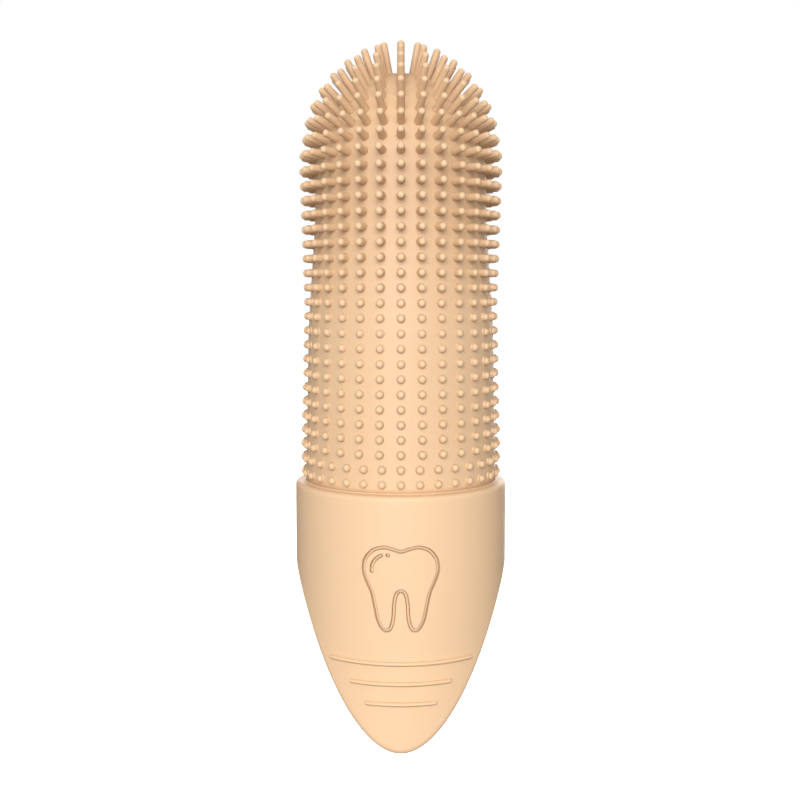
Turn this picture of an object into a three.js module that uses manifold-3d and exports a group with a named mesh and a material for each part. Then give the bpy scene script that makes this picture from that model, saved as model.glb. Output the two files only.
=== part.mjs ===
// Toothbrush for pets, worn on a finger: one soft silicone moulding.
// A plain cuff with a tongue carries a thimble sleeve covered in bristles, closed by a bristled dome.
// Millimetres. +Z runs to the dome, the palm side faces -Y and z = 0 is the back rim of the mouth.

import * as THREE from "three";
import { mergeVertices } from "three/addons/utils/BufferGeometryUtils.js";
import Module from "manifold-3d";

const wasm = await Module();
wasm.setup();

// Cuff and tongue.
const cuffRadius = 12.5;
const cuffTop = 10.05;
const cuffBore = 10.1;
const tongueLength = 19.15;
const tongueThinning = 0.4;
const tongueSwell = 0.36;
const shoulderRound = 0.5;
const edgeRound = 0.7;
const innerEdgeRound = 0.48;
const quarterMiddle = 1 - Math.SQRT1_2;
const cuffSteps = 48;
const tabLine = -7.1;

// Sleeve.
const wallThickness = 1.45;
const boreSteps = 15;
const splitGap = 0.1;
const beyondAll = 40;
const sleeveStations = [[cuffTop, 11.3], [28, 10.87], [40, 10.03], [46, 9.9]];
const bristleEndStations = [[cuffTop, 11.83], [14.4, 11.87], [31, 11.35], [46, 11.79]];

// Dome: it springs from the top of the sleeve and is a little taller than a half ball.
const domeBase = 46;
const domeRadius = 9.9;
const domeHeight = 11.26;
const bristleReachStations = [[0, 11.79], [18, 12.02], [75, 14.7], [90, 14.95]];
const bristleLiftStations = [[0, 0.93], [60, 0.93], [90, 0.99]];
const rootShift = 1.016;

// Bristles.
const bristleRoot = 0.43;
const bristleTip = 0.37;
const rootDepth = 0.4;
const sameArea = 1.555;
const rowPitch = 1.66;
const rowsPerBand = 2;
const bandCount = 11;
const columns = 30;
const cuffSideColumns = 34;
const ringStep = 9;
const ringColumns = [30, 30, 30, 26, 22, 18];
const crownStart = 58.5;
const crownColumns = [14, 10, 6, 1];
const crownSteps = [20, 16];

// Ribs on the tongue's palm side.
const ribLevels = [-8.68, -10.98, -13.28];
const ribHalfAngles = [39.4, 27, 18.8];
const ribWidth = 0.45;
const ribHeight = 0.37;
const ribLift = 0.03;
const ribStep = 3;
const ribEndFade = 0.9;

const group = new THREE.Group();

const radians = THREE.MathUtils.degToRad;

function between(stations, z) {
  for (let i = 1; i < stations.length; i += 1) {
    const [z0, r0] = stations[i - 1];
    const [z1, r1] = stations[i];
    if (z <= z1) return r0 + ((r1 - r0) * (z - z0)) / (z1 - z0);
  }
  return stations.at(-1)[1];
}

function domeOuter(z) {
  return domeRadius * Math.sqrt(1 - ((z - domeBase) / domeHeight) ** 2);
}

function domeInner(z) {
  const rise = (z - domeBase) / (domeHeight - wallThickness);
  return (domeRadius - wallThickness) * Math.sqrt(1 - rise * rise);
}

function outerAt(z) {
  return z > domeBase ? domeOuter(z) : between(sleeveStations, z);
}

function innerAt(z) {
  return z > domeBase ? domeInner(z) : between(sleeveStations, z) - wallThickness;
}

function toManifold(geometry) {
  const bare = geometry.clone();
  bare.deleteAttribute("normal");
  bare.deleteAttribute("uv");
  const welded = mergeVertices(bare, 1e-5);
  const mesh = { numProp: 3, vertProperties: welded.attributes.position.array, triVerts: welded.index.array };
  return new wasm.Manifold(new wasm.Mesh(mesh));
}

// Everything between two heights, for keeping one part of a solid.
function slab(zLow, zHigh) {
  const box = new THREE.BoxGeometry(beyondAll, beyondAll, zHigh - zLow);
  box.translate(0, 0, (zLow + zHigh) / 2);
  return toManifold(box);
}

function addNode(name, solid) {
  const { vertProperties, triVerts } = solid.getMesh();
  const geometry = new THREE.BufferGeometry();
  geometry.setAttribute("position", new THREE.BufferAttribute(Float32Array.from(vertProperties), 3));
  geometry.setIndex(new THREE.BufferAttribute(Uint32Array.from(triVerts), 1));
  geometry.computeVertexNormals();
  const material = new THREE.MeshStandardMaterial({ color: 0xf3cfa0, roughness: 0.55, metalness: 0 });
  const mesh = new THREE.Mesh(geometry, material);
  mesh.name = name;
  group.add(mesh);
}

// A mesh under construction: corners are shared by number, so the finished skin is closed.
class Skin {
  points = [];
  faces = [];

  put(x, y, z) {
    return this.points.push([x, y, z]) - 1;
  }

  strip(lower, upper, outward) {
    lower.forEach((a, i) => {
      const b = lower[(i + 1) % lower.length];
      const c = upper[(i + 1) % lower.length];
      const d = upper[i];
      const quad = outward ? [a, b, c, a, c, d] : [a, c, b, a, d, c];
      this.faces.push(...quad);
    });
  }

  // Fills a flat outline with holes. flat gives a corner's place in the outline's own plane,
  // and the faces run anticlockwise there when seen from outside.
  fill(outline, holes, flat, seenFromOutside) {
    const place = (id) => new THREE.Vector2(...flat(this.points[id]));
    const ids = [...outline, ...holes.flat()];
    const places = ids.map(place);
    const inner = holes.map((hole) => hole.map(place));
    THREE.ShapeUtils.triangulateShape(outline.map(place), inner).forEach((face) => {
      const anticlockwise = THREE.ShapeUtils.area(face.map((k) => places[k])) > 0;
      const corners = face.map((k) => ids[k]);
      this.faces.push(...(anticlockwise === seenFromOutside ? corners : corners.reverse()));
    });
  }

  solid() {
    const vertProperties = Float32Array.from(this.points.flat());
    const mesh = { numProp: 3, vertProperties, triVerts: Uint32Array.from(this.faces) };
    return new wasm.Manifold(new wasm.Mesh(mesh));
  }
}

function circle(skin, radius, z, sides, phase) {
  return Array.from({ length: sides }, (_, i) => {
    const turn = (2 * Math.PI * (i + phase)) / sides;
    return skin.put(radius * Math.sin(turn), -radius * Math.cos(turn), z);
  });
}

function turned([x, y, z], turn) {
  const c = Math.cos(turn);
  const s = Math.sin(turn);
  return [x * c - y * s, x * s + y * c, z];
}

// A bristle drawn on the front facet: a three-sided peg from the facet's plane out to its end.
function peg(row, lowZ, lowR, slope) {
  const along = [0, -Math.cos(row.lean), Math.sin(row.lean)];
  const across = [0, Math.sin(row.lean), Math.cos(row.lean)];
  const corners = [0, 1, 2].map((k) => Math.PI / 2 + (2 * Math.PI * k) / 3);
  const offset = (angle, size) => {
    const side = size * sameArea * Math.cos(angle);
    const up = size * sameArea * Math.sin(angle);
    return [side, -row.endRadius + up * across[1], row.endHeight + up * across[2]];
  };
  const ends = corners.map((angle) => offset(angle, bristleTip));
  const roots = corners.map((angle) => {
    const [x, y, z] = offset(angle, bristleRoot);
    const back = (y + lowR + slope * (z - lowZ)) / (along[1] + slope * along[2]);
    return [x, y - back * along[1], z - back * along[2]];
  });
  return { roots, ends };
}

// A ring of the wall between two heights, open inside, with rows of bristles at its flats' middles.
function bristledRing(zLow, zHigh, sides, rows) {
  const low = zLow + splitGap / 2;
  const high = zHigh - splitGap / 2;
  const lowR = outerAt(low);
  const highR = outerAt(high);
  const slope = (highR - lowR) / (high - low);
  const grow = 1 / Math.cos(Math.PI / sides);
  const skin = new Skin();
  const outLow = circle(skin, lowR * grow, low, sides, -0.5);
  const outHigh = circle(skin, highR * grow, high, sides, -0.5);
  const inLow = circle(skin, innerAt(low), low, boreSteps, 0);
  const inHigh = circle(skin, innerAt(high), high, boreSteps, 0);
  skin.strip(inLow, inHigh, false);
  skin.fill(outLow, [inLow], ([x, y]) => [x, y], false);
  skin.fill(outHigh, [inHigh], ([x, y]) => [x, y], true);
  const pegs = rows.map((row) => peg(row, low, lowR, slope));
  for (let i = 0; i < sides; i += 1) {
    const turn = (2 * Math.PI * i) / sides;
    const place = (corner) => skin.put(...turned(corner, turn));
    const holes = pegs.map(({ roots, ends }) => {
      const base = roots.map(place);
      const tip = ends.map(place);
      skin.strip(base, tip, true);
      skin.faces.push(tip[0], tip[1], tip[2]);
      return base;
    });
    const next = (i + 1) % sides;
    const outline = [outLow[i], outLow[next], outHigh[next], outHigh[i]];
    skin.fill(outline, holes, (p) => [turned(p, -turn)[0], p[2]], true);
  }
  return skin.solid();
}

// One free bristle for the crown, ending at a radius and height, leaning up by an angle.
function bristle(turn, row) {
  const length = row.reach + rootDepth;
  const shape = new THREE.CylinderGeometry(bristleTip * sameArea, bristleRoot * sameArea, length, 3);
  const back = length / 2;
  const radius = row.endRadius - back * Math.cos(row.lean);
  shape.rotateX(Math.PI - row.lean);
  shape.translate(0, -radius, row.endHeight - back * Math.sin(row.lean));
  shape.rotateZ(turn);
  return toManifold(shape);
}

function straightRow(z) {
  return { endRadius: between(bristleEndStations, z), endHeight: z, lean: 0 };
}

function domeRow(degrees) {
  const rise = Math.sin(radians(degrees)) ** 2;
  const end = between(bristleReachStations, degrees);
  const wall = domeRadius + (domeHeight - domeRadius) * rise;
  return {
    endRadius: end * Math.cos(radians(degrees)),
    endHeight: domeBase + end * Math.sin(radians(degrees)),
    lean: radians(degrees === 90 ? degrees : degrees * between(bristleLiftStations, degrees)),
    reach: end - wall,
  };
}

// Height on the dome's skin at an angle of rise; bristles lean, so their roots sit a little higher.
function splitHeight(degrees) {
  const rise = radians(degrees * rootShift);
  const across = Math.cos(rise) / domeRadius;
  const up = Math.sin(rise) / domeHeight;
  return domeBase + Math.sin(rise) / Math.hypot(across, up);
}

// Sleeve: bands of two rows, counted up from the cuff.
const firstSplit = splitHeight(ringStep / 2);
for (let band = 1; band <= bandCount; band += 1) {
  const topRow = (bandCount - band) * rowsPerBand;
  const count = band === 1 ? cuffSideColumns : columns;
  const high = topRow === 0 ? firstSplit : domeBase - (topRow - 0.5) * rowPitch;
  const low = band === 1 ? cuffTop + splitGap / 2 : domeBase - (topRow + rowsPerBand - 0.5) * rowPitch;
  const rows = [0, 1].map((k) => straightRow(domeBase - (topRow + k) * rowPitch));
  addNode(`bristle_band_${String(band).padStart(2, "0")}`, bristledRing(low, high, count, rows));
}

// Dome: single rings, then one cap that closes the top.
ringColumns.forEach((count, i) => {
  const degrees = ringStep * (i + 1);
  const low = splitHeight(degrees - ringStep / 2);
  const high = splitHeight(degrees + ringStep / 2);
  addNode(`crown_ring_${i + 1}`, bristledRing(low, high, count, [domeRow(degrees)]));
});

function cap() {
  const floor = splitHeight(crownStart) + splitGap / 2;
  const outerShape = new THREE.SphereGeometry(1, ...crownSteps);
  outerShape.rotateX(Math.PI / 2);
  outerShape.scale(domeRadius, domeRadius, domeHeight);
  outerShape.translate(0, 0, domeBase);
  const innerShape = new THREE.SphereGeometry(1, boreSteps, boreSteps);
  innerShape.rotateX(Math.PI / 2);
  innerShape.scale(domeRadius - wallThickness, domeRadius - wallThickness, domeHeight - wallThickness);
  innerShape.translate(0, 0, domeBase);
  const keep = slab(floor, floor + beyondAll);
  const shell = toManifold(outerShape).subtract(toManifold(innerShape));
  const first = ringStep * (ringColumns.length + 1);
  const grown = crownColumns.reduce((solid, count, i) => {
    const row = domeRow(first + ringStep * i);
    const turns = Array.from({ length: count }, (_, k) => (2 * Math.PI * k) / count);
    return turns.reduce((sum, turn) => sum.add(bristle(turn, row)), solid);
  }, shell);
  return grown.intersect(keep);
}
addNode("crown_cap", cap());

// Cuff and tongue: one curved wall whose lower edge dips to the tongue's tip at the front.
function grid(columnsOfPoints) {
  const rows = columnsOfPoints[0].length;
  const positions = columnsOfPoints.flat(2);
  const index = [];
  columnsOfPoints.forEach((_, i) => {
    const next = (i + 1) % columnsOfPoints.length;
    for (let j = 0; j < rows; j += 1) {
      const a = i * rows + j;
      const b = next * rows + j;
      const c = next * rows + ((j + 1) % rows);
      const d = i * rows + ((j + 1) % rows);
      index.push(a, b, c, a, c, d);
    }
  });
  const shape = new THREE.BufferGeometry();
  shape.setAttribute("position", new THREE.Float32BufferAttribute(positions, 3));
  shape.setIndex(index);
  return shape;
}

function onCylinder(turn, radius, z) {
  return [radius * Math.sin(turn), -radius * Math.cos(turn), z];
}

function rimHeight(turn) {
  if (Math.cos(turn) <= 0) return 0;
  return -tongueLength * Math.cos(turn) ** 2 - tongueSwell * Math.sin(2 * turn) ** 4;
}

// How far the rim runs for each step round the wall. The tongue's edges are rounded by as much
// more in height, so that the rounding is the same size all along them.
function rimStretch(turn) {
  const slope = Math.cos(turn) > 0 ? (tongueLength * Math.sin(2 * turn)) / cuffRadius : 0;
  return Math.hypot(1, slope);
}

function cuffWall() {
  const shoulderCut = shoulderRound * quarterMiddle;
  const edgeCut = edgeRound * quarterMiddle;
  const slices = Array.from({ length: cuffSteps }, (_, i) => {
    const turn = (2 * Math.PI * i) / cuffSteps;
    const rim = rimHeight(turn);
    const stretch = rimStretch(turn);
    const bore = cuffBore - (tongueThinning * rim) / tongueLength;
    const profile = [
      [cuffRadius, rim + edgeRound * stretch],
      [cuffRadius, cuffTop - shoulderRound],
      [cuffRadius - shoulderCut, cuffTop - shoulderCut],
      [cuffRadius - shoulderRound, cuffTop],
      [innerAt(cuffTop), cuffTop],
      [cuffBore, edgeRound],
      [bore, rim + innerEdgeRound * stretch],
      [bore + innerEdgeRound, rim],
      [cuffRadius - edgeRound, rim],
      [cuffRadius - edgeCut, rim + edgeCut * stretch],
    ];
    return profile.map(([radius, z]) => onCylinder(turn, radius, z));
  });
  return toManifold(grid(slices));
}

const wall = cuffWall();

addNode("cuff", wall.intersect(slab(tabLine + splitGap / 2, cuffTop + 1)));
addNode("pull_tab", wall.intersect(slab(-tongueLength - 1, tabLine - splitGap / 2)));

// Slices of a raised line, each a low arch, smaller towards both ends.
function rib(level, halfAngle) {
  const steps = Math.round(halfAngle / ribStep);
  const slices = Array.from({ length: 2 * steps + 1 }, (_, i) => {
    const share = i / steps - 1;
    const size = Math.sqrt(1 - ribEndFade * share ** 8);
    const half = (ribWidth / 2) * size;
    const turn = radians(halfAngle * share);
    const base = cuffRadius + ribLift;
    const profile = [[0, -half], [ribHeight * size * 0.8, -half * 0.6], [ribHeight * size, 0]];
    profile.push([ribHeight * size * 0.8, half * 0.6], [0, half]);
    return profile.map(([out, up]) => onCylinder(turn, base + out, level + up));
  });
  return slices;
}

// Closes a strip of slices with flat ends.
function strip(slices) {
  const rows = slices[0].length;
  const index = [];
  for (let i = 0; i + 1 < slices.length; i += 1) {
    for (let j = 0; j < rows; j += 1) {
      const a = i * rows + j;
      const b = (i + 1) * rows + j;
      const c = (i + 1) * rows + ((j + 1) % rows);
      const d = i * rows + ((j + 1) % rows);
      index.push(a, b, c, a, c, d);
    }
  }
  const last = (slices.length - 1) * rows;
  for (let j = 1; j + 1 < rows; j += 1) {
    index.push(0, j, j + 1);
    index.push(last, last + j + 1, last + j);
  }
  const shape = new THREE.BufferGeometry();
  shape.setAttribute("position", new THREE.Float32BufferAttribute(slices.flat(2), 3));
  shape.setIndex(index);
  return shape;
}

ribLevels.forEach((level, i) => {
  addNode(`tab_rib_${i + 1}`, toManifold(strip(rib(level, ribHalfAngles[i]))));
});

export default group;
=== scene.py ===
"""Looks of the finger toothbrush: one satin silicone moulding with a bristled sleeve and dome.

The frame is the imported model's: +Z runs to the dome, -Y is the palm side, z = 0 is the back rim.
Shapes are worked out in millimetres, and add_mesh turns them into metres.
"""

import math

import bpy
import numpy as np
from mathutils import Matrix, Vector


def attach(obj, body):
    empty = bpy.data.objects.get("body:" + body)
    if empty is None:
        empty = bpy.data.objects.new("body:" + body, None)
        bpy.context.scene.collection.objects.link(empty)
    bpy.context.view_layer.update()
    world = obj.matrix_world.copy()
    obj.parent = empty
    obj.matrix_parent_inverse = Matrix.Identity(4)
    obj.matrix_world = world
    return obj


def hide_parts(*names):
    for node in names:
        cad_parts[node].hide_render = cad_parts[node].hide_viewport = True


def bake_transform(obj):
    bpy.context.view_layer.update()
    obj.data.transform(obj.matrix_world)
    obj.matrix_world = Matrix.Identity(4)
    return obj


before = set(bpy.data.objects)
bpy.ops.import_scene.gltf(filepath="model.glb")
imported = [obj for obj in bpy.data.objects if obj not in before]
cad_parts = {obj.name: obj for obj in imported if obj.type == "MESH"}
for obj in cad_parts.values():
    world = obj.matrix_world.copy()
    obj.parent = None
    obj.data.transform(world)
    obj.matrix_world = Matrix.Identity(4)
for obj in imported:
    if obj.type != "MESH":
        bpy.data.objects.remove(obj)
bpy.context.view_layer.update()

# A millimetre in metres, and a tolerance in millimetres.
MM = 0.001
TINY = 0.01
rng = np.random.default_rng(7)

# Cuff and tongue, in millimetres.
CUFF_RADIUS = 12.5
CUFF_TOP = 10.05
CUFF_BORE = 10.1
TONGUE_LENGTH = 19.15
TONGUE_THINNING = 0.4
TONGUE_SWELL = 0.36
SHOULDER_ROUND = 0.5
NECK_ROUND = 0.2
EDGE_ROUND = 0.7
ARC_POINTS = 6

# The bore's top row and how many rows it has down to the rim, the height where it starts to
# narrow towards the sleeve, and how far below the cuff's top it has done so.
BORE_TOP = 2.0
BORE_ROWS = 8
BORE_NARROWS = 4.0
BORE_NARROWED = 0.1

# The cuff's neck lies just under the sleeve's surface. Its back is hidden in the sleeve's wall.
NECK_SUNK = 0.02
NECK_THICKNESS = 0.3
HIDDEN_RADIUS = 10.6

# Steps round the cuff in degrees from the palm side: first, end and step. The engraving's are fine.
ENGRAVED_TURNS = (-21.5, 21.51, 0.25)
SIDE_TURNS = (23, 91, 2.0)
BACK_TURNS = (94, 267, 4.0)
ENGRAVED_ANGLE = 22

# The engraving's share of the height between rim and shoulder, and the rows below, on and above it.
ENGRAVED_SHARES = (0.42, 0.87)
ROWS_BELOW = 24
ROWS_ENGRAVED = 195
ROWS_ABOVE = 8

# Sleeve and dome.
WALL = 1.45
DOME_BASE = 46.0
DOME_RADIUS = 9.9
DOME_HEIGHT = 11.26
SLEEVE_STATIONS = ((CUFF_TOP, 28.0, 40.0, 46.0), (11.3, 10.87, 10.03, 9.9))
SLEEVE_SIDES = 180
SLEEVE_SUNK = 0.06
OUTSIDE_STEP = 0.78
INSIDE_STEP = 1.6
DOME_POINTS = 26

# Bristles: straight rows up the sleeve, then rings over the dome, RING_STEP degrees apart.
# END_STATIONS give their ends' radius by height. On the dome REACH_STATIONS give it by degrees,
# and LIFT_STATIONS the share of their ring's angle that they lean by. THIN_STATIONS give their
# thickness by height.
BRISTLE_SIDES = 12
TIP_RADIUS = 0.44
SHAFT_RADIUS = 0.455
ROOT_FLARE = 0.06
END_STATIONS = ((CUFF_TOP, 14.4, 31.0, 46.0), (11.83, 11.87, 11.35, 11.79))
ROW_PITCH = 1.66
ROWS = 22
CUFF_SIDE_ROWS = 2
COLUMNS = 30
CUFF_SIDE_COLUMNS = 34
RING_STEP = 9
RING_COLUMNS = (30, 30, 30, 26, 22, 18, 14, 10, 6, 1)
REACH_STATIONS = ((0, 18, 75, 90), (11.79, 12.02, 14.7, 14.92))
LIFT_STATIONS = ((60, 90), (0.93, 0.99))
THIN_STATIONS = ((40.0, 58.0), (1.0, 0.94))
LEAN_SPREAD = 0.008

# Sections of a bristle from its root to its end. At the root: share of the flare, and depth under
# the wall's surface. At the cap: share of the tip's radius, distance back from the end, and tone:
# the caps are painted paler than the shafts as painted light, and the shafts deeper as painted
# shade.
ROOT_SECTIONS = ((1.3, 0.14), (0.5, -0.04), (0.1, -0.18))
SHAFT_END = 0.42
CAP_SECTIONS = ((0.94, 0.26, 0.76), (0.75, 0.13, 0.95), (0.43, 0.04, 1.0))

# Tone of the silicone, from 1 palest to 0 darkest. The tones are painted shade: thin walls, shafts,
# the bore, the rims and the neck are painted deeper than the bristles' caps and the cuff. The
# sleeve's and the shafts' tones go by height, and the cuff's by radius: the top tones hold down to a
# depth under its top, and the rim tones below that.
WALL_PAINTED_SHADE = ((10.2, 11.0, 30.0, 46.0, 52.0), (0.85, 0.88, 0.8, 0.56, 0.7))
SHAFT_PAINTED_SHADE = ((12.0, 44.0, 54.0), (0.52, 0.63, 0.7))
BORE_PAINTED_SHADE = 0.75
TOP_PAINTED_SHADE = ((10.4, 10.6, 11.75, 12.1), (BORE_PAINTED_SHADE, 0.9, 0.9, 1.0))
TOP_PAINTED_SHADE_DEPTH = 1
RIM_PAINTED_SHADE = ((10.7, 11.0, 12.15, 12.45), (BORE_PAINTED_SHADE, 0.6, 0.6, 1.0))

# The silicone's colours, from the darkest tone to the palest, and how light passes inside it. The
# darker colours mostly carry painted shade from the tones.
DARK = (0.40, 0.26, 0.15)
DEEP = (0.585, 0.393, 0.233)
PALE = (0.79, 0.539, 0.328)
SOFT_LIGHT = 0.12
SOFT_RADIUS = (1.0, 0.55, 0.32)
SOFT_SCALE = 0.0005
SILICONE_IOR = 1.41

# The silicone's surface: faint clouds of tone, and a fine matt grain.
CLOUD_SCALE = 90.0
CLOUD_TONE = 0.05
GRAIN_SCALE = 2600.0
GRAIN_ROUGHNESS = (0.45, 0.57)
GRAIN_STRENGTH = 0.12
GRAIN_HEIGHT = 0.00003

# Where the sleeve bends with the finger's last joint: the bend's lowest and highest heights.
SLEEVE_BEND = (19.0, 41.5)
SLEEVE_BEND_ROOM = 0.5

# Ribs on the tongue: height and half angle of each, and their section. The root is the part
# under the surface, and the foot is the lower flank, from a share of the half width outwards.
# The foot's deep tone is painted shadow under each rib.
# The rounding of their ends stops at RIB_END_SHARE, just short of a point.
RIBS = ((-8.68, 39.4), (-10.98, 27.0), (-13.28, 18.8))
RIB_HALF_WIDTH = 0.25
RIB_HEIGHT = 0.37
RIB_ROOT = 0.15
RIB_SUNK = 0.02
RIB_SIDES = 12
RIB_STEPS_A_DEGREE = 2
RIB_END_STEPS = 7
RIB_END_SHARE = 0.98
RIB_FOOT_SHARE = 0.4
RIB_FOOT_PAINTED_SHADOW = 0.3

# Engraved tooth outline: half of a plain molar, x across and z up, mirrored for the other half.
TOOTH_HALF = (
    (0.0, 3.95), (0.9, 4.2), (2.0, 4.4), (3.2, 4.0), (4.05, 2.95), (4.2, 1.65),
    (3.75, 0.4), (3.25, -0.7), (2.9, -2.2), (2.5, -3.9), (1.85, -4.85), (1.2, -4.7),
    (0.85, -3.5), (0.75, -1.9), (0.5, -0.8), (0.0, -0.45),
)
SHINE_ARC = ((-3.3, 1.7), (-3.2, 2.5), (-2.75, 3.15), (-2.2, 3.5))
SHINE_DOT = ((-1.5, 3.55), (-1.42, 3.55))

# The groove, with its tones by the share of its full depth: deep on its walls as painted shade, pale
# on its floor.
GROOVE_HALF_WIDTH = 0.16
GROOVE_SOFT = 0.13
GROOVE_DEPTH = 0.42
GROOVE_PAINTED_SHADE = ((0, 0.25, 0.9, 1), (1, 0.15, 0.15, 0.9))

# Studio, in metres: a large soft key above the front, a weaker one behind, light from all round,
# a pale paper floor and the camera.
KEY_PLACE = (-0.06, -0.9, 0.32)
KEY_POWER = 10.8
BACK_PLACE = (0.1, 0.9, 0.06)
BACK_POWER = 8.5
LIGHT_SIZE = 0.8
LIGHT_AIM = (0, 0, 0.02)
WHITE = (1, 1, 1, 1)
AMBIENT = 0.335
BACKDROP = 1.0
FLOOR = -0.045
FLOOR_SIZE = 6
PAPER = (0.93, 0.93, 0.93, 1)
PAPER_ROUGHNESS = 0.9
PAPER_GLOW = 0.8
CAMERA_PLACE = (-0.0001, -0.1347, 0.03314)
CAMERA_PITCH = 5.82
CAMERA_LENS = 51.23
CAMERA_SENSOR = 36
CAMERA_NEAR = 0.01


def at(place, stations):
    """The value at a place along the stations, in a straight line from each to the next."""
    return float(np.interp(place, *stations))


def sleeve_outer(z):
    """Radius of the sleeve's outside at a height below the dome."""
    return at(z, SLEEVE_STATIONS)


def on_turn(turn, radius, z):
    """The point at a turn from the palm side, a radius and a height."""
    return (radius * math.sin(turn), -radius * math.cos(turn), z)


def add_mesh(name, points, faces, tones=1.0):
    """A smooth-shaded mesh from millimetre points, with the silicone's tone, its painted shade, at
    each one.
    """
    mesh = bpy.data.meshes.new(name)
    mesh.from_pydata((np.asarray(points, float) * MM).tolist(), [], faces)
    tone = mesh.attributes.new("tone", "FLOAT", "POINT")
    tone.data.foreach_set("value", np.broadcast_to(tones, len(points)).astype(np.float32))
    mesh.validate()
    mesh.shade_smooth()
    piece = bpy.data.objects.new(name, mesh)
    bpy.context.scene.collection.objects.link(piece)
    return piece


def grid_faces(columns, rows, wrap_columns, wrap_rows):
    """Quads of a grid stored column by column, facing out when rows run up and columns run round."""
    faces = []
    for i in range(columns if wrap_columns else columns - 1):
        k = (i + 1) % columns
        for j in range(rows if wrap_rows else rows - 1):
            m = (j + 1) % rows
            faces.append((i * rows + j, k * rows + j, k * rows + m, i * rows + m))
    return faces


def arc(centre_r, centre_z, radius, start, end, stretch=1.0):
    """Points of an arc in the profile plane, its angles in degrees from outwards to up."""
    angles = np.radians(np.linspace(start, end, ARC_POINTS))
    rise = radius * stretch
    return [(centre_r + radius * math.cos(a), centre_z + rise * math.sin(a)) for a in angles]


# Cuff and tongue ------------------------------------------------------------------------------


def rim_height(turn):
    """The wall's lower edge: flat behind, dipping to the tongue's tip in front."""
    if math.cos(turn) <= 0:
        return 0.0
    return -TONGUE_LENGTH * math.cos(turn) ** 2 - TONGUE_SWELL * math.sin(2 * turn) ** 4


def rim_stretch(turn):
    """How far the rim runs for each step round the wall: its rounding grows with it in height."""
    slope = TONGUE_LENGTH * math.sin(2 * turn) / CUFF_RADIUS if math.cos(turn) > 0 else 0.0
    return math.hypot(1, slope)


def smooth_path(points, closed, steps=14):
    """A Catmull-Rom path through the points."""
    pts = np.array(points, float)
    if closed:
        pts = np.vstack([pts[-1], pts, pts[:2]])
    else:
        pts = np.vstack([2 * pts[0] - pts[1], pts, 2 * pts[-1] - pts[-2]])
    out = []
    for p0, p1, p2, p3 in zip(pts, pts[1:], pts[2:], pts[3:]):
        for t in np.linspace(0, 1, steps, endpoint=False):
            out.append(
                0.5 * (2 * p1 + (p2 - p0) * t + (2 * p0 - 5 * p1 + 4 * p2 - p3) * t**2
                       + (3 * p1 - p0 - 3 * p2 + p3) * t**3)
            )
    out.append(pts[1] if closed else pts[-2])
    return np.array(out)


def distance_to(path, places):
    """Distance from each place to a polyline."""
    best = np.full(len(places), np.inf)
    for a, b in zip(path, path[1:]):
        run = b - a
        share = np.clip(((places - a) @ run) / (run @ run), 0, 1)
        gap = places - (a + share[:, None] * run)
        best = np.minimum(best, np.hypot(gap[:, 0], gap[:, 1]))
    return best


def engraving(places):
    """Depth and tone of the moulded outline at each place on the palm side; the tone paints shade on
    the groove's walls.
    """
    mirrored = [(-x, z) for x, z in TOOTH_HALF[-2:0:-1]]
    paths = [
        smooth_path(list(TOOTH_HALF) + mirrored, closed=True),
        smooth_path(SHINE_ARC, closed=False),
        smooth_path(SHINE_DOT, closed=False),
    ]
    gap = np.min([distance_to(path, places) for path in paths], axis=0)
    share = np.clip((GROOVE_HALF_WIDTH + GROOVE_SOFT / 2 - gap) / GROOVE_SOFT, 0, 1)
    return GROOVE_DEPTH * share * share * (3 - 2 * share), np.interp(share, *GROOVE_PAINTED_SHADE)


def cuff_profile(turn, shares):
    """The cuff's closed section at a turn: down the bore, round the rim, up the outside and over."""
    rim = rim_height(turn)
    stretch = rim_stretch(turn)
    bore = CUFF_BORE - TONGUE_THINNING * rim / TONGUE_LENGTH
    top_bore = sleeve_outer(CUFF_TOP) - WALL
    shoulder = CUFF_TOP - SHOULDER_ROUND
    foot = rim + EDGE_ROUND * stretch
    neck = sleeve_outer(CUFF_TOP) - NECK_SUNK
    neck_top = CUFF_TOP + NECK_ROUND
    profile = [(top_bore, CUFF_TOP), (top_bore, CUFF_TOP - BORE_NARROWED), (CUFF_BORE, BORE_NARROWS)]
    profile += [(bore, z) for z in np.linspace(BORE_TOP, foot, BORE_ROWS)]
    profile += arc(bore + EDGE_ROUND, foot, EDGE_ROUND, 180, 270, stretch)
    profile += arc(CUFF_RADIUS - EDGE_ROUND, foot, EDGE_ROUND, 270, 360, stretch)[:-1]
    profile += [(CUFF_RADIUS, foot + (shoulder - foot) * s) for s in shares]
    profile += arc(CUFF_RADIUS - SHOULDER_ROUND, shoulder, SHOULDER_ROUND, 0, 90)[1:]
    profile += arc(neck + NECK_ROUND, neck_top, NECK_ROUND, 270, 180)
    profile += [(neck - NECK_THICKNESS, neck_top), (neck - NECK_THICKNESS, CUFF_TOP)]
    profile.append((HIDDEN_RADIUS, CUFF_TOP))
    return profile


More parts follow.
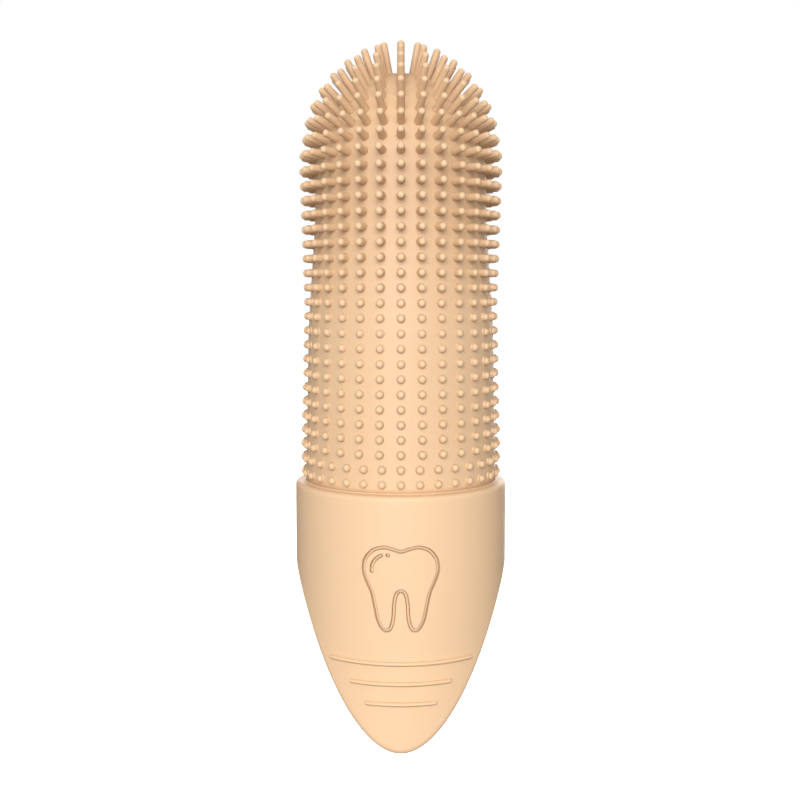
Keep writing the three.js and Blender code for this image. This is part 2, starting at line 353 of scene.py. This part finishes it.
def make_cuff():
    """The cuff drawn out to the tongue, with its mesh fine enough on the palm side to engrave."""
    sides = np.arange(*SIDE_TURNS)
    degrees = (np.arange(*ENGRAVED_TURNS), sides, np.arange(*BACK_TURNS), 360 - sides[::-1])
    turns = np.radians(np.concatenate(degrees))
    low, high = ENGRAVED_SHARES
    shares = np.concatenate([
        np.linspace(0, low, ROWS_BELOW, endpoint=False),
        np.linspace(low, high, ROWS_ENGRAVED, endpoint=False),
        np.linspace(high, 1, ROWS_ABOVE),
    ])
    columns = [[on_turn(t, r, z) for r, z in cuff_profile(t, shares)] for t in turns]
    points = np.concatenate(columns)
    radius = np.hypot(points[:, 0], points[:, 1])
    # Painted shade: the bore, the rims' rounding and the neck are toned deeper than the cuff's face.
    at_top = points[:, 2] >= CUFF_TOP - TOP_PAINTED_SHADE_DEPTH
    tones = np.where(at_top, np.interp(radius, *TOP_PAINTED_SHADE), np.interp(radius, *RIM_PAINTED_SHADE))

    angle = np.arctan2(points[:, 0], -points[:, 1])
    near = (radius > CUFF_RADIUS - TINY) & (np.abs(angle) < math.radians(ENGRAVED_ANGLE))
    places = np.stack([angle[near] * CUFF_RADIUS, points[near, 2]], axis=1)
    depth, tones[near] = engraving(places)
    points[near, :2] *= (1 - depth / radius[near])[:, None]
    faces = grid_faces(len(turns), len(columns[0]), True, True)
    return add_mesh("cuff_and_tongue", points, faces, tones)


def make_rib(name, level, half_angle):
    """A raised line across the tongue, fading into the surface at its ends."""
    half_length = math.radians(half_angle) * CUFF_RADIUS
    steps = int(half_angle * RIB_STEPS_A_DEGREE)
    middle = np.linspace(-half_length, half_length, steps)[2:-2]
    ends = RIB_HALF_WIDTH * (1 - np.cos(np.linspace(0, math.pi / 2, RIB_END_STEPS)))
    run = np.concatenate([ends - half_length, middle, half_length - ends[::-1]])
    points = []
    tones = []
    for place in run:
        near_end = 1 - (half_length - abs(place)) / RIB_HALF_WIDTH
        size = math.sqrt(1 - np.clip(near_end, 0, RIB_END_SHARE) ** 2)
        for a in np.linspace(0, 2 * math.pi, RIB_SIDES, endpoint=False):
            out = (RIB_HEIGHT * size if math.sin(a) > 0 else RIB_ROOT) * math.sin(a)
            down = RIB_HALF_WIDTH * size * math.cos(a)
            points.append(on_turn(place / CUFF_RADIUS, CUFF_RADIUS - RIB_SUNK + out, level - down))
            # The lower flank's deeper tone is painted shadow under the rib.
            tones.append(RIB_FOOT_PAINTED_SHADOW if math.cos(a) > RIB_FOOT_SHARE else 1.0)
    faces = grid_faces(len(run), RIB_SIDES, False, True)
    faces.append(tuple(range(RIB_SIDES - 1, -1, -1)))
    faces.append(tuple((len(run) - 1) * RIB_SIDES + j for j in range(RIB_SIDES)))
    return add_mesh(name, points, faces, tones)


# Sleeve and dome ------------------------------------------------------------------------------


def make_sleeve():
    """The thimble wall: outside up to the dome's top, inside back down to the cuff."""
    inner_radius = DOME_RADIUS - WALL
    inner_height = DOME_HEIGHT - WALL
    angles = np.radians(np.linspace(0, 90, DOME_POINTS))[1:-1]
    going_up = np.arange(CUFF_TOP - SLEEVE_SUNK, DOME_BASE + TINY, OUTSIDE_STEP)
    going_down = np.arange(DOME_BASE, CUFF_TOP - BORE_NARROWED, -INSIDE_STEP)
    outside = [(sleeve_outer(z), z) for z in going_up]
    outside += [(DOME_RADIUS * math.cos(a), DOME_BASE + DOME_HEIGHT * math.sin(a)) for a in angles]
    inside = [
        (inner_radius * math.cos(a), DOME_BASE + inner_height * math.sin(a)) for a in angles[::-2]
    ]
    inside += [(sleeve_outer(z) - WALL, z) for z in going_down]

    points = []
    for i in range(SLEEVE_SIDES):
        turn = 2 * math.pi * i / SLEEVE_SIDES
        points += [on_turn(turn, r, z) for r, z in outside + inside]
    apex = len(points)
    points += [(0, 0, DOME_BASE + DOME_HEIGHT), (0, 0, DOME_BASE + inner_height)]
    # Painted shade: the outside's tone deepens by height towards the dome, and the inside takes the
    # bore's.
    outer_tones = np.interp([z for _, z in outside], *WALL_PAINTED_SHADE).tolist()
    tones = (outer_tones + [BORE_PAINTED_SHADE] * len(inside)) * SLEEVE_SIDES + [outer_tones[-1], BORE_PAINTED_SHADE]

    rows = len(outside) + len(inside)
    top = len(outside) - 1
    faces = [f for f in grid_faces(SLEEVE_SIDES, rows, True, False) if f[0] % rows != top]
    for i in range(SLEEVE_SIDES):
        here = i * rows
        beside = (i + 1) % SLEEVE_SIDES * rows
        faces.append((here + top, beside + top, apex))
        faces.append((beside + top + 1, here + top + 1, apex + 1))
        faces.append((here, here + rows - 1, beside + rows - 1, beside))
    return add_mesh("sleeve_and_dome", points, faces, tones)


# Bristles -------------------------------------------------------------------------------------


def bristle_rows():
    """Each row's bristle count, end radius, end height, lean and length outside the wall."""
    rows = []
    for k in range(ROWS):
        z = DOME_BASE - ROW_PITCH * k
        end = at(z, END_STATIONS)
        count = CUFF_SIDE_COLUMNS if k >= ROWS - CUFF_SIDE_ROWS else COLUMNS
        rows.append((count, end, z, 0.0, end - sleeve_outer(z)))
    for k, count in enumerate(RING_COLUMNS, 1):
        rise = math.radians(RING_STEP * k)
        reach = at(RING_STEP * k, REACH_STATIONS)
        wall = DOME_RADIUS + (DOME_HEIGHT - DOME_RADIUS) * math.sin(rise) ** 2
        lean = rise if count == 1 else rise * at(RING_STEP * k, LIFT_STATIONS)
        end_z = DOME_BASE + reach * math.sin(rise)
        rows.append((count, reach * math.cos(rise), end_z, lean, reach - wall))
    return rows


def bristle_shape(length, painted_wall_shade, painted_shaft_shade):
    """Radius, distance back from the end and tone, from the buried root to the round cap: painted
    shade on root and shaft, painted light on the cap.
    """
    root_painted_shade = (painted_wall_shade, painted_wall_shade, painted_shaft_shade)
    shape = [
        (SHAFT_RADIUS + ROOT_FLARE * flare, length + depth, tone)
        for (flare, depth), tone in zip(ROOT_SECTIONS, root_painted_shade)
    ]
    shape.append((TIP_RADIUS, SHAFT_END, painted_shaft_shade))
    shape += [(TIP_RADIUS * share, back, tone) for share, back, tone in CAP_SECTIONS]
    return shape


def make_bristles(name, rows):
    """The rows' bristles in one mesh, each a round shaft with a flared root and a round cap."""
    points = []
    faces = []
    tones = []
    n = BRISTLE_SIDES
    around = np.linspace(0, 2 * math.pi, n, endpoint=False)
    for count, end_r, end_z, lean, length in rows:
        shape = bristle_shape(length, at(end_z, WALL_PAINTED_SHADE), at(end_z, SHAFT_PAINTED_SHADE))
        thickness = at(end_z, THIN_STATIONS)
        for i in range(count):
            turn = 2 * math.pi * i / count
            tilt = lean + rng.normal(0, LEAN_SPREAD)
            out = np.array(on_turn(turn, math.cos(tilt), math.sin(tilt)))
            side = np.array([math.cos(turn), math.sin(turn), 0.0])
            up = np.cross(out, side)
            end = np.array(on_turn(turn, end_r, end_z))
            first = len(points)
            for radius, back, tone in shape:
                centre = end - out * back
                reach = radius * thickness
                points += [centre + reach * (math.cos(a) * side + math.sin(a) * up) for a in around]
                tones += [tone] * n
            points.append(end)
            tones.append(1.0)
            for j in range(len(shape) - 1):
                for m in range(n):
                    a = first + j * n + m
                    b = first + j * n + (m + 1) % n
                    faces.append((a, b, b + n, a + n))
            last = first + (len(shape) - 1) * n
            faces += [(last + m, last + (m + 1) % n, len(points) - 1) for m in range(n)]
            faces.append(tuple(first + m for m in range(n - 1, -1, -1)))
    return add_mesh(name, points, faces, tones)


# Silicone -------------------------------------------------------------------------------------


def node(tree, kind, **inputs):
    """A new shader node with its inputs set by name."""
    made = tree.nodes.new(kind)
    for key, value in inputs.items():
        made.inputs[key.replace("_", " ")].default_value = value
    return made


def silicone(name):
    """Satin moulded silicone: soft light inside, painted shade from the tone, faint clouding, a fine
    matt grain.
    """
    material = bpy.data.materials.new(name)
    material.use_nodes = True
    tree = material.node_tree
    link = tree.links.new
    shader = tree.nodes["Principled BSDF"]
    shader.inputs["Subsurface Weight"].default_value = SOFT_LIGHT
    shader.inputs["Subsurface Radius"].default_value = SOFT_RADIUS
    shader.inputs["Subsurface Scale"].default_value = SOFT_SCALE
    shader.inputs["IOR"].default_value = SILICONE_IOR
    where = node(tree, "ShaderNodeTexCoord")

    cloud = node(tree, "ShaderNodeTexNoise", Scale=CLOUD_SCALE, Detail=3.0, Roughness=0.5)
    link(where.outputs["Object"], cloud.inputs["Vector"])
    drift = node(tree, "ShaderNodeMapRange", To_Min=-CLOUD_TONE, To_Max=CLOUD_TONE)
    link(cloud.outputs["Fac"], drift.inputs["Value"])
    # The tone attribute carries painted light and shade; the clouds add a tone that differs at
    # random.
    tone = node(tree, "ShaderNodeAttribute")
    tone.attribute_name = "tone"
    clouded = node(tree, "ShaderNodeMath")
    clouded.operation = "ADD"
    link(tone.outputs["Fac"], clouded.inputs[0])
    link(drift.outputs["Result"], clouded.inputs[1])
    tint = node(tree, "ShaderNodeValToRGB")
    tint.color_ramp.elements[0].color = (*DARK, 1)
    tint.color_ramp.elements[1].color = (*PALE, 1)
    tint.color_ramp.elements.new(0.5).color = (*DEEP, 1)
    link(clouded.outputs["Value"], tint.inputs["Fac"])
    link(tint.outputs["Color"], shader.inputs["Base Color"])

    grain = node(tree, "ShaderNodeTexNoise", Scale=GRAIN_SCALE, Detail=2.0, Roughness=0.6)
    link(where.outputs["Object"], grain.inputs["Vector"])
    smooth, rough = GRAIN_ROUGHNESS
    spread = node(tree, "ShaderNodeMapRange", To_Min=smooth, To_Max=rough)
    link(grain.outputs["Fac"], spread.inputs["Value"])
    link(spread.outputs["Result"], shader.inputs["Roughness"])
    bump = node(tree, "ShaderNodeBump", Strength=GRAIN_STRENGTH, Distance=GRAIN_HEIGHT)
    link(grain.outputs["Fac"], bump.inputs["Height"])
    link(bump.outputs["Normal"], shader.inputs["Normal"])
    return material


satin = silicone("silicone_satin")


# Assembly -------------------------------------------------------------------------------------

bands = sorted(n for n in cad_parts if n.startswith("bristle_band"))
rings = sorted(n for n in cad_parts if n.startswith("crown_"))


def dress(piece, *nodes):
    """Give a piece the silicone and let it stand for its CAD nodes."""
    piece.data.materials.append(satin)
    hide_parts(*nodes)


cuff = make_cuff()
dress(cuff, "cuff", "pull_tab")
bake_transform(cuff)

for i, (level, half_angle) in enumerate(RIBS, 1):
    rib = make_rib(f"rib_{i}", level, half_angle)
    dress(rib, f"tab_rib_{i}")
    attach(rib, "tongue")

sleeve = make_sleeve()
dress(sleeve, *bands, *rings)
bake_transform(sleeve)

# Bristles clear of the bend keep their shape. Only those on it are carried by the bending wall.
all_rows = bristle_rows()
low_rows = [row for row in all_rows if row[2] < SLEEVE_BEND[0] - SLEEVE_BEND_ROOM]
high_rows = [row for row in all_rows if row[2] > SLEEVE_BEND[1] + SLEEVE_BEND_ROOM]
bend_rows = [row for row in all_rows if row not in low_rows and row not in high_rows]
bristles_low = make_bristles("bristles_low", low_rows)
dress(bristles_low, *bands)
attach(bristles_low, "sleeve")
bristles_bend = make_bristles("bristles_bend", bend_rows)
dress(bristles_bend, *bands)
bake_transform(bristles_bend)
bristles_high = make_bristles("bristles_high", high_rows)
dress(bristles_high, *bands, *rings)
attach(bristles_high, "fingertip")


# Studio ---------------------------------------------------------------------------------------


def add_light(name, place, power):
    """A large round area light turned towards the brush."""
    light = bpy.data.lights.new(name, "AREA")
    light.shape = "DISK"
    light.size = LIGHT_SIZE
    light.energy = power
    lamp = bpy.data.objects.new(name, light)
    lamp.location = place
    lamp.rotation_euler = (Vector(LIGHT_AIM) - Vector(place)).to_track_quat("-Z", "Y").to_euler()
    bpy.context.scene.collection.objects.link(lamp)


def add_world():
    """Soft white light from all round, in front of a backdrop that is seen as pure white."""
    world = bpy.data.worlds.new("studio")
    world.use_nodes = True
    tree = world.node_tree
    lit = tree.nodes["Background"]
    lit.inputs["Color"].default_value = WHITE
    lit.inputs["Strength"].default_value = AMBIENT
    seen = node(tree, "ShaderNodeBackground", Color=WHITE, Strength=BACKDROP)
    ray = node(tree, "ShaderNodeLightPath")
    pick = node(tree, "ShaderNodeMixShader")
    tree.links.new(ray.outputs["Is Camera Ray"], pick.inputs["Fac"])
    tree.links.new(lit.outputs["Background"], pick.inputs[1])
    tree.links.new(seen.outputs["Background"], pick.inputs[2])
    tree.links.new(pick.outputs["Shader"], tree.nodes["World Output"].inputs["Surface"])
    bpy.context.scene.world = world


def add_floor():
    """A plain pale floor, which throws no light onto the brush."""
    bpy.ops.mesh.primitive_plane_add(size=FLOOR_SIZE, location=(0, 0, FLOOR))
    floor = bpy.context.object
    floor.name = "floor"
    paper = bpy.data.materials.new("paper")
    paper.use_nodes = True
    shader = paper.node_tree.nodes["Principled BSDF"]
    shader.inputs["Base Color"].default_value = PAPER
    shader.inputs["Roughness"].default_value = PAPER_ROUGHNESS
    shader.inputs["Emission Color"].default_value = WHITE
    shader.inputs["Emission Strength"].default_value = PAPER_GLOW
    floor.data.materials.append(paper)
    floor.visible_diffuse = False
    floor.visible_glossy = False


def add_camera():
    """The camera in front of the palm side, looking slightly down."""
    camera = bpy.data.cameras.new("camera")
    camera.sensor_width = CAMERA_SENSOR
    camera.lens = CAMERA_LENS
    camera.clip_start = CAMERA_NEAR
    viewer = bpy.data.objects.new("camera", camera)
    viewer.location = CAMERA_PLACE
    viewer.rotation_euler = (math.radians(90 - CAMERA_PITCH), 0, 0)
    bpy.context.scene.collection.objects.link(viewer)
    bpy.context.scene.camera = viewer


bpy.context.scene.view_settings.view_transform = "Standard"
add_world()
add_floor()
add_light("key", KEY_PLACE, KEY_POWER)
add_light("back", BACK_PLACE, BACK_POWER)
add_camera()
